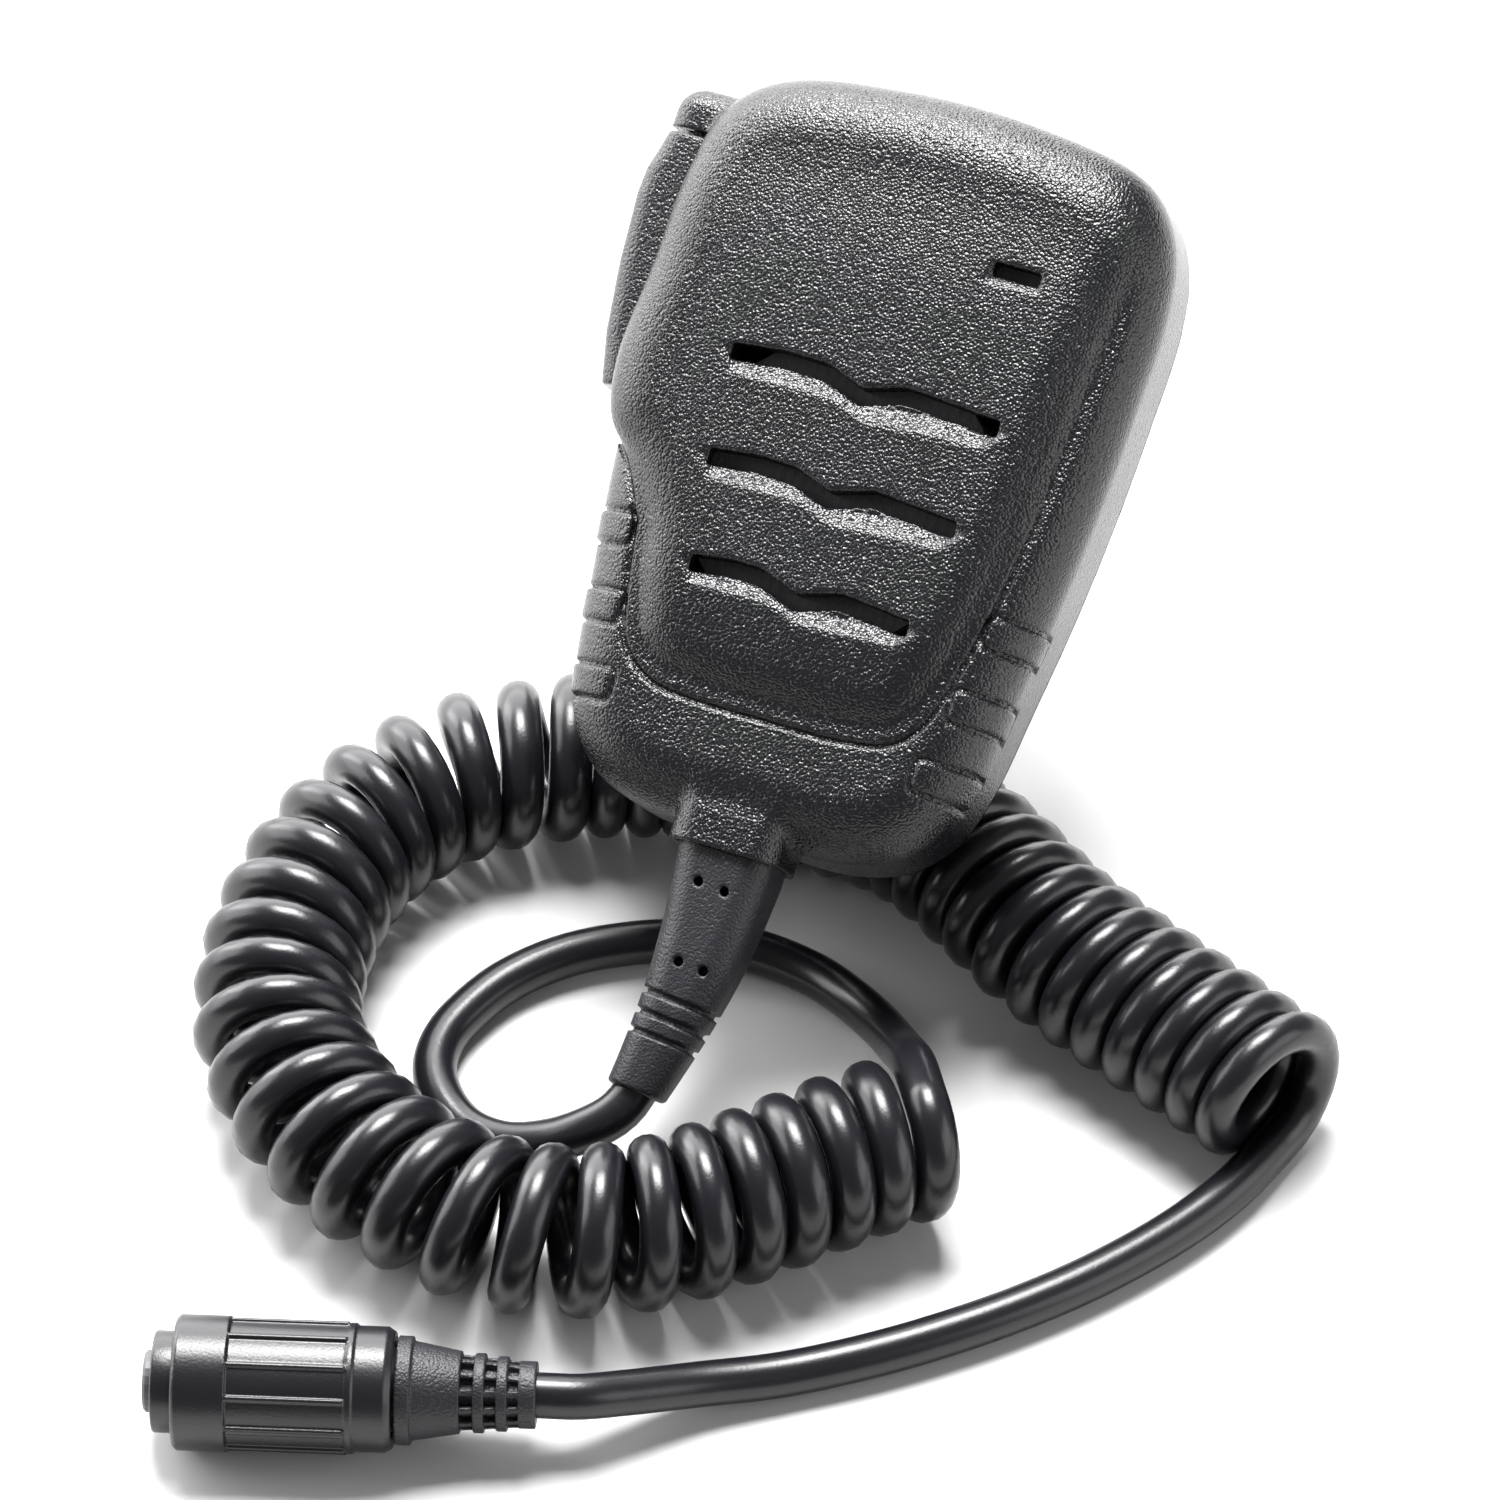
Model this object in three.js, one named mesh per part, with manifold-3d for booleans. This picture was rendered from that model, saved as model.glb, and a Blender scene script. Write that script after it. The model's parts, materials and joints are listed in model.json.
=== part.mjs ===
// Hand microphone with a curly cord and a round threaded plug, in millimetres, +Z up.
// The microphone leans back on its coiled cord. The origin is on the flat front of its speaker panel.
import * as THREE from 'three';
import { mergeVertices } from 'three/addons/utils/BufferGeometryUtils.js';
import Module from 'manifold-3d';

const wasm = await Module();
wasm.setup();

// ---- Driving dimensions -------------------------------------------------------------
const LEAN = 35.5;                 // degrees between the case's long axis and the table
const CASE_FOOT = [10.1, -16.8, 12.4]; // rear bottom edge of the case above the table
const FRONT_Z = 27.5;              // front face of the speaker panel above the flat back
const MOUNT_Y = 62;                // the origin, up that front face on its centre line
const LOWER_FRONT_Z = 25.2;        // front face around the speaker panel
const PARTING_Z = 10;              // joint between front and rear case
const WALL = 2.4;                  // case wall
const FLANGE = 4.8;                // width of the flange at the joint
const GAP = 0.3;                   // clearance between neighbouring parts
const SPEAKER = { x: 0, y: 39, r: 17.4 };
const SLOTS = [                    // speaker slots: height up the case and length
  { y: 51.4, length: 31.4 },
  { y: 39.5, length: 29 },
  { y: 27.7, length: 25.6 },
];
const MIC_HOLE = { x: 12.3, y: 66.4 };
const KEY = { top: 73.4, bottom: 44.2, hingeX: -28.6, hingeY: 75.6 };
const EAR = [-32.8, -20, 74.0, 79.8];  // shoulder above the key: x and y ranges
const LUG = { z0: 11.4, z1: 17.2 };       // the key's hinge lug inside the shoulder
const POCKET = { x: -25.6, y0: 43.6, y1: 74.2, z0: 7.4, z1: 20.2 };
const CASE_SCREWS = [[-18.6, 74.9], [19.2, 74.5], [-15.4, 8.6], [15.4, 8.6]];
const BOARD_SCREWS = [[-17, 59.5], [17, 59.5]];
const BOOT = { x: -0.3, y: -2.6, z: 18.3, tilt: 5, length: 28 };
const CLIP_Y = 56;                 // swivel axis of the rear clip
const CORD_R = 2.5;
const COIL_R = 9.55;               // outer radius of the curly cord
const COIL_Z = 9.65;                // axis of the curly cord above the table
const PLUG_AXIS_Z = 7.35;          // the plug lies on its coupling ring
const PLUG_TIP = [-26.4, -106.7];
const PLUG_TURN = 19.2;            // degrees, plug axis in plan from +X

const BLACK = { color: 0x33343a, roughness: 0.62, metalness: 0 };
const RUBBER = { color: 0x3a3b40, roughness: 0.75, metalness: 0 };
const CORD = { color: 0x26272c, roughness: 0.42, metalness: 0 };
const STEEL = { color: 0xb4b6ba, roughness: 0.32, metalness: 1 };
const BRASS = { color: 0xc9a24a, roughness: 0.3, metalness: 1 };
const BOARD = { color: 0x1f5a35, roughness: 0.5, metalness: 0 };
const PAPER = { color: 0x2a2a2c, roughness: 0.9, metalness: 0 };

// ---- Solids ---------------------------------------------------------------------------
function solid(geometry) {
  const bare = geometry.clone();
  bare.deleteAttribute('normal');
  bare.deleteAttribute('uv');
  const merged = mergeVertices(bare, 1e-4);
  return new wasm.Manifold(new wasm.Mesh({
    numProp: 3,
    vertProperties: new Float32Array(merged.attributes.position.array),
    triVerts: new Uint32Array(merged.index.array),
  }));
}

function geometryOf(body) {
  const mesh = body.getMesh();
  const geometry = new THREE.BufferGeometry();
  geometry.setAttribute('position', new THREE.BufferAttribute(mesh.vertProperties, 3));
  geometry.setIndex(new THREE.BufferAttribute(mesh.triVerts, 1));
  return geometry;
}

const box = (x0, x1, y0, y1, z0, z1) => solid(
  new THREE.BoxGeometry(x1 - x0, y1 - y0, z1 - z0).translate((x0 + x1) / 2, (y0 + y1) / 2, (z0 + z1) / 2));

// A cylinder along the local z axis from z0 to z1.
function rod(x, y, z0, z1, r, sides = 20) {
  const geometry = new THREE.CylinderGeometry(r, r, z1 - z0, sides).rotateX(Math.PI / 2);
  return solid(geometry.translate(x, y, (z0 + z1) / 2));
}

// A turned body about the local z axis. The profile is a list of [radius, z].
function turned(profile, sides = 32) {
  const points = profile.map(([r, z]) => new THREE.Vector2(r, z));
  return solid(new THREE.LatheGeometry(points, sides).rotateX(Math.PI / 2));
}

// A closed loft through rings that all have the same number of points.
function loft(rings) {
  const count = rings[0].length;
  const positions = rings.flat().flatMap((p) => [p.x, p.y, p.z]);
  const index = [];
  for (let i = 0; i + 1 < rings.length; i += 1) {
    for (let j = 0; j < count; j += 1) {
      const k = (j + 1) % count;
      const [a, b, c, d] = [i * count + j, i * count + k, (i + 1) * count + j, (i + 1) * count + k];
      index.push(a, b, d, a, d, c);
    }
  }
  for (const [start, flip] of [[0, true], [(rings.length - 1) * count, false]]) {
    const ring = start === 0 ? rings[0] : rings.at(-1);
    const centre = ring.reduce((sum, p) => sum.add(p), new THREE.Vector3()).divideScalar(count);
    const hub = positions.length / 3;
    positions.push(centre.x, centre.y, centre.z);
    for (let j = 0; j < count; j += 1) {
      const k = (j + 1) % count;
      index.push(hub, start + (flip ? k : j), start + (flip ? j : k));
    }
  }
  const geometry = new THREE.BufferGeometry();
  geometry.setAttribute('position', new THREE.Float32BufferAttribute(positions, 3));
  geometry.setIndex(index);
  return solid(geometry);
}

// Points of a closed smooth outline, moved inwards by inset, at height z.
function ring(outline, inset, z) {
  const count = outline.length;
  return outline.map((p, i) => {
    const before = outline[(i + count - 1) % count];
    const after = outline[(i + 1) % count];
    const along = new THREE.Vector2().subVectors(after, before).normalize();
    return new THREE.Vector3(p.x - along.y * inset, p.y + along.x * inset, z);
  });
}
const stack = (outline, levels) => loft(levels.map(([z, inset]) => ring(outline, inset, z)));

// A closed smooth curve through points, walked anticlockwise.
function smoothOutline(points, count) {
  const curve = new THREE.CatmullRomCurve3(points.map(([x, y]) => new THREE.Vector3(x, y, 0)), true, 'centripetal');
  return curve.getSpacedPoints(count).slice(0, count).map((p) => new THREE.Vector2(p.x, p.y));
}

// A straight-sided plate from a list of outline points.
function plate(points, z0, z1) {
  const shape = new THREE.Shape(points.map(([x, y]) => new THREE.Vector2(x, y)));
  return solid(new THREE.ExtrudeGeometry(shape, { depth: z1 - z0, bevelEnabled: false }).translate(0, 0, z0));
}

// A plate seen from the side: a list of [y, z] points, from x0 to x1.
function sidePlate(points, x0, x1) {
  const shape = new THREE.Shape(points.map(([y, z]) => new THREE.Vector2(y, z)));
  const geometry = new THREE.ExtrudeGeometry(shape, { depth: x1 - x0, bevelEnabled: false });
  const turn = new THREE.Matrix4().makeBasis(new THREE.Vector3(0, 1, 0), new THREE.Vector3(0, 0, 1),
    new THREE.Vector3(1, 0, 0));
  return solid(geometry.applyMatrix4(turn).translate(x0, 0, 0));
}

// A tube of one round section along a curve.
function tube(curve, r, steps, sides) {
  const section = new THREE.Shape();
  for (let i = 0; i < sides; i += 1) {
    const angle = (i / sides) * 2 * Math.PI;
    section[i === 0 ? 'moveTo' : 'lineTo'](r * Math.cos(angle), r * Math.sin(angle));
  }
  section.closePath();
  return solid(new THREE.ExtrudeGeometry(section, { steps, extrudePath: curve, curveSegments: 1 }));
}

const group = new THREE.Group();
const table = new THREE.Group();    // millimetres above the table, z = 0
const body = new THREE.Group();     // x across, y up the back of the case, z out of its front
const boot = new THREE.Group();     // z down the cable boot
const plug = new THREE.Group();     // z from the plug's tip to its cord
group.add(table);
table.add(body);
body.add(boot);
table.add(plug);

body.rotation.x = THREE.MathUtils.degToRad(LEAN);
body.position.set(...CASE_FOOT);
const mountHeight = new THREE.Vector3(0, MOUNT_Y, FRONT_Z).applyEuler(body.rotation).add(body.position);
table.position.copy(mountHeight).negate();
boot.rotation.set(Math.PI / 2, 0, 0);
boot.rotateY(-THREE.MathUtils.degToRad(BOOT.tilt));
boot.position.set(BOOT.x, BOOT.y, BOOT.z);
plug.position.set(PLUG_TIP[0], PLUG_TIP[1], PLUG_AXIS_Z);
plug.rotation.set(0, 0, THREE.MathUtils.degToRad(PLUG_TURN));
plug.rotateY(Math.PI / 2);

function add(parent, name, shape, finish) {
  const mesh = new THREE.Mesh(geometryOf(shape), new THREE.MeshStandardMaterial(finish));
  mesh.name = name;
  parent.add(mesh);
}

// ---- Case -----------------------------------------------------------------------------
const OUTLINE_POINTS = 48;
const HALF_CASE = [[11.5, 0.1], [17.6, 2.2], [21.7, 6.6], [23.8, 13], [25.2, 23], [26.6, 34],
  [27.6, 46], [28.1, 58], [28.2, 67.6], [26.8, 75.0], [23.0, 80.0], [16.8, 82.7], [8.6, 83.9]];
const caseOutline = smoothOutline([[0, 0], ...HALF_CASE, [0, 84.4],
  ...HALF_CASE.toReversed().map(([x, y]) => [-x, y])], OUTLINE_POINTS);
const PANEL = [[0, 12.5], [9, 12.6], [14.2, 13.8], [17.4, 17.6], [19.6, 25], [21.8, 36], [23.3, 52],
  [24.1, 66], [23.4, 74.5], [19.6, 79.6], [11, 82], [0, 82.6], [-11, 82], [-19.8, 80.6],
  [-25.6, 76.6], [-28, 70], [-28.6, 58], [-29.3, 47], [-27.9, 40], [-23.6, 35.4], [-21, 30],
  [-19.4, 22.6], [-17.2, 16.4], [-13.4, 13.4], [-9, 12.6]];
const panelOutline = smoothOutline(PANEL, OUTLINE_POINTS);
const lowerFront = [[LOWER_FRONT_Z - 6.2, 0.3], [LOWER_FRONT_Z - 2.9, 1.5], [LOWER_FRONT_Z - 0.8, 3.6],
  [LOWER_FRONT_Z, 6.4]];
const panelLevels = [[20.4, 0], [23.4, 0.2], [25.4, 1.5], [26.8, 3.6], [FRONT_Z, 7.2]];

function slotOutline(y, length, height) {
  const [half, dip, run] = [length / 2, 1.3, 5.2];
  const upper = [[-half, 0.2], [-run, 0.3], [0, -dip], [run, 0.5], [half, -0.3]];
  return [...upper.map(([x, dy]) => [x, y + dy - height]), ...upper.toReversed().map(([x, dy]) => [x, y + dy])];
}

function gripPads() {
  const pads = [];
  for (const side of [-1, 1]) {
    for (const [x, y] of [[24.4, 28.5], [23.2, 19.8], [21.2, 11.4]]) {
      pads.push(box(side * x - 3.6, side * x + 3.6, y - 1.8, y + 1.8, 15, 26));
    }
  }
  const skin = stack(caseOutline, [[8, 0.6], ...lowerFront.map(([z, inset]) => [z - 0.5, inset + 0.4])]);
  return pads.map((pad) => pad.subtract(skin));
}

function collarShape(grow, y0, y1) {
  const [w, h, c] = [7 + grow, 6.7 + grow, 2.6];
  const corner = [[w, h - c], [w - c * 0.3, h - c * 0.3], [w - c, h]];
  const quarter = [...corner, ...corner.toReversed().map(([x, z]) => [-x, z])];
  const outline = [...quarter, ...quarter.map(([x, z]) => [-x, -z])];
  const shape = new THREE.Shape(outline.map(([x, z]) => new THREE.Vector2(x + BOOT.x, z + BOOT.z)));
  const geometry = new THREE.ExtrudeGeometry(shape, { depth: y1 - y0, bevelEnabled: false });
  return solid(geometry.rotateX(Math.PI / 2).translate(0, y1, 0));
}

function frontCase() {
  let shell = stack(caseOutline, [[PARTING_Z + GAP / 2, 0], ...lowerFront]);
  const ear = box(...EAR, PARTING_Z + GAP / 2, 19.4);
  shell = shell.add(stack(panelOutline, panelLevels)).add(ear);
  shell = shell.add(collarShape(0, BOOT.y, 6).subtract(box(-9, 9, -9, 9, 0, PARTING_Z + GAP / 2)));
  let hollow = stack(caseOutline, [[PARTING_Z - 3, FLANGE], [PARTING_Z + 2.4, FLANGE], [PARTING_Z + 2.6, WALL],
    [LOWER_FRONT_Z - 5.6, WALL + 0.4], [LOWER_FRONT_Z - 1.8, WALL + 3.4]]);
  hollow = hollow.add(stack(panelOutline, [[15, WALL + 2.4], [22.4, WALL + 0.8], [23.8, WALL + 0.8], [FRONT_Z - 2.2, 5.6]]));
  hollow = hollow.subtract(box(-40, POCKET.x + WALL, POCKET.y0 - WALL, POCKET.y1 + WALL, 0, POCKET.z1 + 1.8));
  for (const [x, y] of CASE_SCREWS) hollow = hollow.subtract(rod(x, y, 5, FRONT_Z, 3, 16));
  for (const [x, y] of BOARD_SCREWS) hollow = hollow.subtract(rod(x, y, 13.2, FRONT_Z, 2.2, 12));
  shell = shell.subtract(hollow);
  for (const [x, y] of CASE_SCREWS) shell = shell.subtract(rod(x, y, 5, 21, 1.5, 12));
  for (const [x, y] of BOARD_SCREWS) shell = shell.subtract(rod(x, y, 10, 18.5, 1.2, 10));
  for (const { y, length } of SLOTS) shell = shell.subtract(plate(slotOutline(y, length, 1.9), 20, 30));
  shell = shell.subtract(box(MIC_HOLE.x - 2.7, MIC_HOLE.x + 2.7, MIC_HOLE.y - 0.7, MIC_HOLE.y + 0.7, 20, 30));
  shell = shell.subtract(box(-40, POCKET.x, POCKET.y0, POCKET.y1, POCKET.z0, POCKET.z1));
  shell = shell.subtract(box(KEY.hingeX - 2.4, KEY.hingeX + 2.4, 70, KEY.hingeY + 2.3, LUG.z0 - GAP, LUG.z1 + GAP));
  shell = shell.subtract(rod(KEY.hingeX, KEY.hingeY, 5, 18.7, 0.9, 12));
  shell = shell.subtract(collarShape(-1.9, BOOT.y - 1, 7));
  shell = shell.subtract(box(BOOT.x - 6.6, BOOT.x + 6.6, 3.1, 9, 13, 23.5));
  shell = shell.subtract(plungerHole(2.9));
  shell = shell.subtract(sealGroove());
  for (const pad of gripPads()) shell = shell.subtract(pad);
  return shell;
}

const plungerHole = (r) => solid(new THREE.CylinderGeometry(r, r, 8, 16).rotateZ(Math.PI / 2)
  .translate(POCKET.x + 1, 52, 14));
const between = (z0, z1, outer, inner) => stack(caseOutline, [[z0, outer], [z1, outer]])
  .subtract(stack(caseOutline, [[z0 - 1, inner], [z1 + 1, inner]]));
const sealGroove = () => between(PARTING_Z - 0.9, PARTING_Z + 0.9, 3.0, 4.2);
const caseSeal = () => between(PARTING_Z - 0.6, PARTING_Z + 0.6, 3.3, 3.9);

function rearCase() {
  let shell = stack(caseOutline, [[0, 7.2], [0.8, 5.2], [2.6, 3.4], [5.6, 1.7], [PARTING_Z - GAP / 2, 0.3]]);
  shell = shell.add(box(...EAR, 6.4, PARTING_Z - GAP / 2));
  shell = shell.add(rod(0, CLIP_Y, -1.4, 4, 9, 28));
  let hollow = stack(caseOutline, [[WALL, 7.4], [5.6, FLANGE - 0.2], [PARTING_Z + 1, FLANGE]]);
  hollow = hollow.subtract(box(-40, POCKET.x + WALL, POCKET.y0 - WALL, POCKET.y1 + WALL, 0, 20));
  hollow = hollow.subtract(rod(0, CLIP_Y, 0, 4.6, 4.4, 20));
  for (const [x, y] of CASE_SCREWS) hollow = hollow.subtract(rod(x, y, 0, 8, 3.7, 16));
  shell = shell.subtract(hollow);
  for (const [x, y] of CASE_SCREWS) {
    shell = shell.subtract(rod(x, y, -1, 12, 1.6, 12)).subtract(rod(x, y, -1, 3, 2.8, 20));
  }
  shell = shell.subtract(rod(0, CLIP_Y, -3, 3.6, 1.9, 16));
  shell = shell.subtract(rod(KEY.hingeX, KEY.hingeY, 7.2, 12, 0.9, 12));
  shell = shell.subtract(box(-40, POCKET.x, POCKET.y0, POCKET.y1, POCKET.z0, POCKET.z1));
  shell = shell.subtract(collarShape(GAP, BOOT.y - 1, 7));
  return shell.subtract(sealGroove());
}

// A pan-head screw that points along +z, head first, with a cross recess.
function screw(length, shank, headR, headH) {
  let piece = turned([[0, 0], [headR * 0.8, 0], [headR, headH * 0.5], [headR, headH], [shank, headH],
    [shank, length], [0, length]], 12);
  for (const [w, h] of [[headR * 1.1, 0.6], [0.6, headR * 1.1]]) {
    piece = piece.subtract(box(-w / 2, w / 2, -h / 2, h / 2, -1, headH * 0.5));
  }
  return piece;
}

add(body, 'front_case', frontCase(), BLACK);
add(body, 'rear_case', rearCase(), BLACK);
add(body, 'case_seal', caseSeal(), RUBBER);
CASE_SCREWS.forEach(([x, y], i) => {
  add(body, `case_screw_${i + 1}`, screw(17.5, 1.2, 2.3, 1.6).translate([x, y, 1.1]), STEEL);
});

// ---- Speaker and microphone -------------------------------------------------------------
const round = (profile, x, y, sides) => turned(profile, sides).translate([x, y, 0]);
add(body, 'dust_screen', round([[0, 24.2], [17.2, 24.2], [17.2, 24.6], [0, 24.6]], SPEAKER.x, SPEAKER.y, 28), PAPER);
add(body, 'speaker_gasket', round([[15.8, 22.9], [17.4, 22.9], [17.4, 24], [15.8, 24], [15.8, 22.9]],
  SPEAKER.x, SPEAKER.y, 28), RUBBER);
add(body, 'speaker_frame', round([[7.2, 15.4], [11.6, 15.4], [16, 20.8], [17.4, 20.8], [17.4, 22.6], [15.4, 22.6],
  [15, 21.6], [11.2, 16.6], [7.2, 16.6], [7.2, 15.4]], SPEAKER.x, SPEAKER.y, 28), STEEL);
add(body, 'speaker_cone', round([[0, 19.4], [3.4, 18.6], [6, 17.6], [14, 21.9], [14.6, 22.0], [14.6, 22.4],
  [13.8, 22.3], [6, 18.2], [3.4, 19.4], [0, 20.2]], SPEAKER.x, SPEAKER.y, 28), PAPER);
add(body, 'speaker_magnet', round([[0, 11.4], [6.8, 11.4], [6.8, 16.6], [0, 16.6]], SPEAKER.x, SPEAKER.y, 24), STEEL);
add(body, 'mic_screen', round([[0, 24.2], [3.6, 24.2], [3.6, 24.7], [0, 24.7]], MIC_HOLE.x, MIC_HOLE.y, 20), PAPER);
add(body, 'mic_holder', round([[3.3, 20], [4.4, 20], [4.4, 23.9], [3.3, 23.9], [3.3, 20]], MIC_HOLE.x, MIC_HOLE.y, 20), RUBBER);
add(body, 'mic_capsule', round([[0, 20.6], [3, 20.6], [3, 23.6], [0, 23.6]], MIC_HOLE.x, MIC_HOLE.y, 20), STEEL);

// ---- Circuit board ------------------------------------------------------------------------
const BOARD_Z = [8.2, 9.8];
const boardOutline = [[-15, 14], [15, 14], [19.5, 22], [21, 44], [21, 66], [13, 70], [-13, 70], [-21, 66], [-21, 44], [-19.5, 22]];
let board = plate(boardOutline, ...BOARD_Z);
for (const [x, y] of BOARD_SCREWS) board = board.subtract(rod(x, y, 7, 11, 1.6, 12));
add(body, 'circuit_board', board, BOARD);
BOARD_SCREWS.forEach(([x, y], i) => {
  add(body, `board_screw_${i + 1}`, screw(10, 0.9, 2, 1.2).translate([x, y, BOARD_Z[0] - 1.5]), STEEL);
});
add(body, 'cord_header', box(-5, 5, 16.5, 21, BOARD_Z[1] + GAP, BOARD_Z[1] + 3.6), PAPER);
add(body, 'ptt_switch', box(-20.2, -15.4, 48.8, 55.2, BOARD_Z[1] + GAP, 16.6), PAPER);

// ---- Push-to-talk key ----------------------------------------------------------------------
function pttKey() {
  const outline = [[-27.9, KEY.bottom], [-31.6, KEY.bottom], [-32.9, 50], [-33.9, 58], [-34.4, 66], [-34.2, 71],
    [-32.8, KEY.top], [-27.9, KEY.top]];
  const slope = [[9.4, 0.9], [10.6, 0], [17, 0.2], [18.6, 0.9], [19.5, 2.6]];
  const sections = slope.map(([z, inset]) => outline.map(([x, y], i) => {
    const outer = i > 0 && i < outline.length - 1;
    const fade = y < 45 ? 0.4 : 1;
    return new THREE.Vector3(x + (outer ? inset * fade : 0), y, z);
  }));
  const lug = box(KEY.hingeX - 1.9, KEY.hingeX + 1.9, KEY.top - 3, KEY.hingeY + 1.8, LUG.z0, LUG.z1);
  return loft(sections.map((section) => section.toReversed())).add(lug).subtract(pivotHole());
}
const pivotHole = () => rod(KEY.hingeX, KEY.hingeY, 5, 25, 0.9, 16);
add(body, 'ptt_key', pttKey(), BLACK);
add(body, 'ptt_pin', rod(KEY.hingeX, KEY.hingeY, 7.5, 18.4, 0.6, 16), STEEL);
const sideways = (profile, x, y, z, sides = 20) => turned(profile, sides).rotate([0, 90, 0]).translate([x, y, z]);
add(body, 'ptt_seal', sideways([[1.5, 0], [2.6, 0], [2.6, 2.3], [1.5, 2.3], [1.5, 0]], POCKET.x, 52, 14), RUBBER);
add(body, 'ptt_plunger', sideways([[0, 0], [1.2, 0], [1.2, 4.2], [1.9, 4.2], [1.9, 5], [0, 5]], -27.2, 52, 14), PAPER);

// ---- Cable entry -----------------------------------------------------------------------------
function bootSection(w, h) {
  const c = Math.min(w, h) * 0.42;
  const corner = [[w, h - c], [w - c * 0.3, h - c * 0.3], [w - c, h]];
  const half = [...corner, ...corner.toReversed().map(([x, y]) => [-x, y])];
  return [...half, ...half.map(([x, y]) => [-x, -y])];
}
function cableBoot() {
  const levels = [[-8.3, 5.6, 4.6], [-6.7, 5.6, 4.6], [-6.69, 4.1, 4.1], [0.89, 4.1, 4.1], [0.9, 6.2, 6.1],
    [12, 5.2, 5.1], [17, 4.7, 4.6], [17.01, 4.2, 4.1], [18, 4.2, 4.1], [18.01, 4.6, 4.5], [20, 4.4, 4.3],
    [20.01, 3.9, 3.8], [21, 3.9, 3.8], [21.01, 4.3, 4.2], [22.6, 4.2, 4.1], [22.61, 3.6, 3.5],
    [23.4, 3.6, 3.5], [23.41, 4, 3.9], [BOOT.length, 3.5, 3.4]];
  const shape = loft(levels.map(([z, w, h]) => bootSection(w, h).map(([x, y]) => new THREE.Vector3(x, y, z))));
  return shape.subtract(rod(0, 0, -10, BOOT.length + 2, CORD_R + GAP, 16));
}
add(boot, 'cable_boot', cableBoot(), RUBBER);

const innerRoute = new THREE.CatmullRomCurve3([[-0.3, 5.6, 18.3], [-0.2, 8, 17.6], [0, 11, 15.4], [0, 13.2, 13],
  [0, 15.2, 12]].map((p) => new THREE.Vector3(...p)));
add(body, 'inner_lead', tube(innerRoute, 1.6, 10, 8), CORD);

// ---- Rear clip ----------------------------------------------------------------------------------
const CLIP = { w: 10, y0: CLIP_Y - 26, y1: CLIP_Y + 25, pinY: CLIP_Y + 9, pinZ: -9.8 };
function clipPlate() {
  let piece = box(-CLIP.w, CLIP.w, CLIP.y0, CLIP.y1 - 8, -3.3, -1.7);
  piece = piece.add(box(-CLIP.w, CLIP.w, CLIP.y0, CLIP.y0 + 2, -5.2, -3));
  for (const side of [-1, 1]) {
    const ear = box(side * 8.8 - 0.9, side * 8.8 + 0.9, CLIP.pinY - 4, CLIP.pinY + 4, -12.2, -3);
    piece = piece.add(ear);
  }
  const hole = solid(new THREE.CylinderGeometry(1.5, 1.5, 40, 16).rotateZ(Math.PI / 2)
    .translate(0, CLIP.pinY, CLIP.pinZ));
  return piece.subtract(hole).subtract(rod(0, CLIP_Y, -5, 0, 1.9, 16));
}
const clipPin = () => solid(new THREE.CylinderGeometry(1.2, 1.2, 19.4, 16).rotateZ(Math.PI / 2)
  .translate(0, CLIP.pinY, CLIP.pinZ));
function clipLever() {
  const profile = [[CLIP.y0, -5.6], [CLIP.y0 + 2, -5.6], [CLIP.y0 + 5, -10.2], [CLIP.pinY - 3, -10.6],
    [CLIP.pinY - 2.6, -7.8], [CLIP.pinY + 2.6, -7.8], [CLIP.pinY + 3, -10.8], [CLIP.y1, -15.4],
    [CLIP.y1, -17.2], [CLIP.pinY, -12.8], [CLIP.y0 + 4, -12], [CLIP.y0, -7.4]];
  const hole = solid(new THREE.CylinderGeometry(1.5, 1.5, 40, 16).rotateZ(Math.PI / 2)
    .translate(0, CLIP.pinY, CLIP.pinZ));
  const springRoom = box(-4.2, 4.2, CLIP.pinY - 3.4, CLIP.pinY + 3.4, -13.4, 0);
  return sidePlate(profile, -7.5, 7.5).subtract(hole).subtract(springRoom);
}
const clipSpring = () => turned([[1.5, -3.9], [2.9, -3.9], [2.9, 3.9], [1.5, 3.9], [1.5, -3.9]], 20)
  .rotate([0, 90, 0]).translate([0, CLIP.pinY, CLIP.pinZ]);
add(body, 'clip_spring', clipSpring(), STEEL);
add(body, 'clip_plate', clipPlate(), BLACK);
add(body, 'clip_lever', clipLever(), BLACK);
add(body, 'clip_pin', clipPin(), STEEL);
add(body, 'clip_screw', screw(6.6, 1.5, 3.2, 1.6).translate([0, CLIP_Y, -5.4]), STEEL);

// ---- Cord ---------------------------------------------------------------------------------------
// Routes above the table. The coil's own route is the axis of its turns.
const CORD_START = [[7.3, -52.5, 9.4], [5.9, -54.6, 8.2], [3.2, -56.6, 6.6], [-0.6, -58, 4.6], [-5.2, -58.9, 3.2],
  [-10, -58.2, 2.6], [-14.2, -55.4, 2.6], [-17, -51.4, 2.6], [-17.8, -47, 2.6], [-17, -42.4, 2.6], [-14.8, -36.8, 2.6],
  [-10.6, -31.2, 2.6], [-5, -26.8, 2.6], [2, -23.4, 2.6], [9.6, -22, 2.6], [16.8, -22.8, 2.6], [22.4, -25.4, 3.4],
  [27.6, -29.6, 5.6], [32, -35, 9.4], [35.6, -40.6, 13.8], [38.6, -45.2, 16.6], [41.6, -48.6, 15.6]];
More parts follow.
